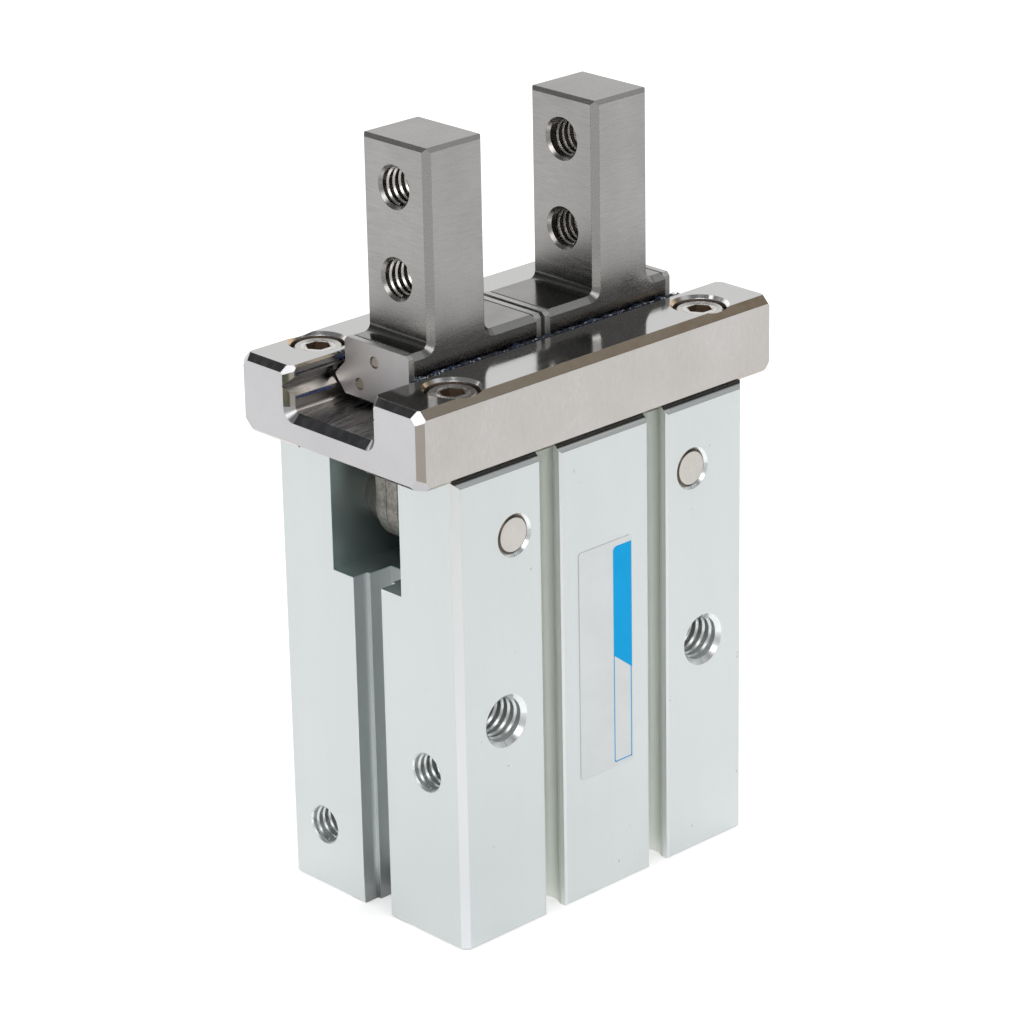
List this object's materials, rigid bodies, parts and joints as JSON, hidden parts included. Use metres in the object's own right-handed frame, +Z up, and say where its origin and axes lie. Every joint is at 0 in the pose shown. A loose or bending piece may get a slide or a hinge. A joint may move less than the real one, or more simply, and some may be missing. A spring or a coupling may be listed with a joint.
{
  "type": "pneumatic parallel gripper",
  "caption": "Pneumatic parallel gripper: a block body with a cylinder, bell-crank levers inside, and flat steel fingers that slide apart in a roller guide on top.",
  "frame": {"origin": "middle of the underside, which is the mounting face", "axes": "X along the finger travel with the air ports at -X, Y across the depth with the front at -Y, Z up towards the fingertips"},
  "size_m": [0.063, 0.034, 0.1039],
  "materials": {
    "anodised_aluminium": "satin clear hard anodising, extruded grain along Z",
    "ground_steel": "ground, with broken edges",
    "finger_steel": "fine ground",
    "screw_steel": "plain stainless",
    "pin_steel": "turned ends",
    "plate_steel": "rolled sheet",
    "lever_steel": "heat treated",
    "spacer_bronze": "sintered",
    "roller_steel": "polished",
    "machined_aluminium": "turned",
    "rod_steel": "ground",
    "seal_rubber": "moulded",
    "bumper_rubber": "moulded",
    "wear_plastic": "moulded",
    "magnet": "sintered",
    "spring_steel": "phosphated"
  },
  "bodies": {
    "housing_unit": {"housing": "anodised_aluminium", "guide_rail": "ground_steel", "guide_screws": "screw_steel", "lever_pins": "pin_steel", "lever_spacers": "spacer_bronze", "cylinder_cap": "machined_aluminium", "cap_seal": "seal_rubber", "retaining_ring": "spring_steel", "lower_bumper": "bumper_rubber", "upper_bumper": "bumper_rubber", "rod_seal": "seal_rubber", "rod_bush": "spacer_bronze"},
    "piston_unit": {"piston": "machined_aluminium", "piston_wear_ring": "wear_plastic", "piston_seal": "seal_rubber", "magnet_ring": "magnet", "magnet_cover": "plate_steel", "piston_nut": "screw_steel", "piston_rod": "rod_steel", "cross_pins": "pin_steel"},
    "lever_left_unit": {"lever_left": "lever_steel"},
    "lever_right_unit": {"lever_right": "lever_steel"},
    "finger_left_unit": {"finger_left": "finger_steel", "outer_plate_left": "plate_steel", "inner_plate_left": "plate_steel", "plate_pins_left": "pin_steel"},
    "finger_right_unit": {"finger_right": "finger_steel", "outer_plate_right": "plate_steel", "inner_plate_right": "plate_steel", "plate_pins_right": "pin_steel"},
    "rollers_left_unit": {"rollers_left_front": "roller_steel", "rollers_left_back": "roller_steel"},
    "rollers_right_unit": {"rollers_right_front": "roller_steel", "rollers_right_back": "roller_steel"}
  },
  "joints": [
    {"name": "piston_slide", "type": "slide", "parent": "housing_unit", "child": "piston_unit", "axis": [0, 0, 1], "range_m": [0, 0.00495]},
    {"name": "finger_left_slide", "type": "slide", "parent": "housing_unit", "child": "finger_left_unit", "axis": [-1, 0, 0], "range_m": [0, 0.007]},
    {"name": "finger_right_slide", "type": "slide", "parent": "housing_unit", "child": "finger_right_unit", "axis": [1, 0, 0], "range_m": [0, 0.007]},
    {"name": "lever_left_turn", "type": "hinge", "parent": "housing_unit", "child": "lever_left_unit", "pos_m": [-0.01605, 0, 0.05525], "axis": [0, -1, 0], "range_deg": [0, 24.2]},
    {"name": "lever_right_turn", "type": "hinge", "parent": "housing_unit", "child": "lever_right_unit", "pos_m": [0.01605, 0, 0.05525], "axis": [0, 1, 0], "range_deg": [0, 24.2]},
    {"name": "rollers_left_slide", "type": "slide", "parent": "housing_unit", "child": "rollers_left_unit", "axis": [-1, 0, 0], "range_m": [0, 0.0035]},
    {"name": "rollers_right_slide", "type": "slide", "parent": "housing_unit", "child": "rollers_right_unit", "axis": [1, 0, 0], "range_m": [0, 0.0035]}
  ],
  "couplings": [
    {"joint": "finger_left_slide", "follows": "piston_slide", "ratio": 1.4138},
    {"joint": "finger_right_slide", "follows": "piston_slide", "ratio": 1.4138},
    {"joint": "lever_left_turn", "follows": "piston_slide", "rad_per_m": 85.289},
    {"joint": "lever_right_turn", "follows": "piston_slide", "rad_per_m": 85.289},
    {"joint": "rollers_left_slide", "follows": "piston_slide", "ratio": 0.70688},
    {"joint": "rollers_right_slide", "follows": "piston_slide", "ratio": 0.70688}
  ]
}
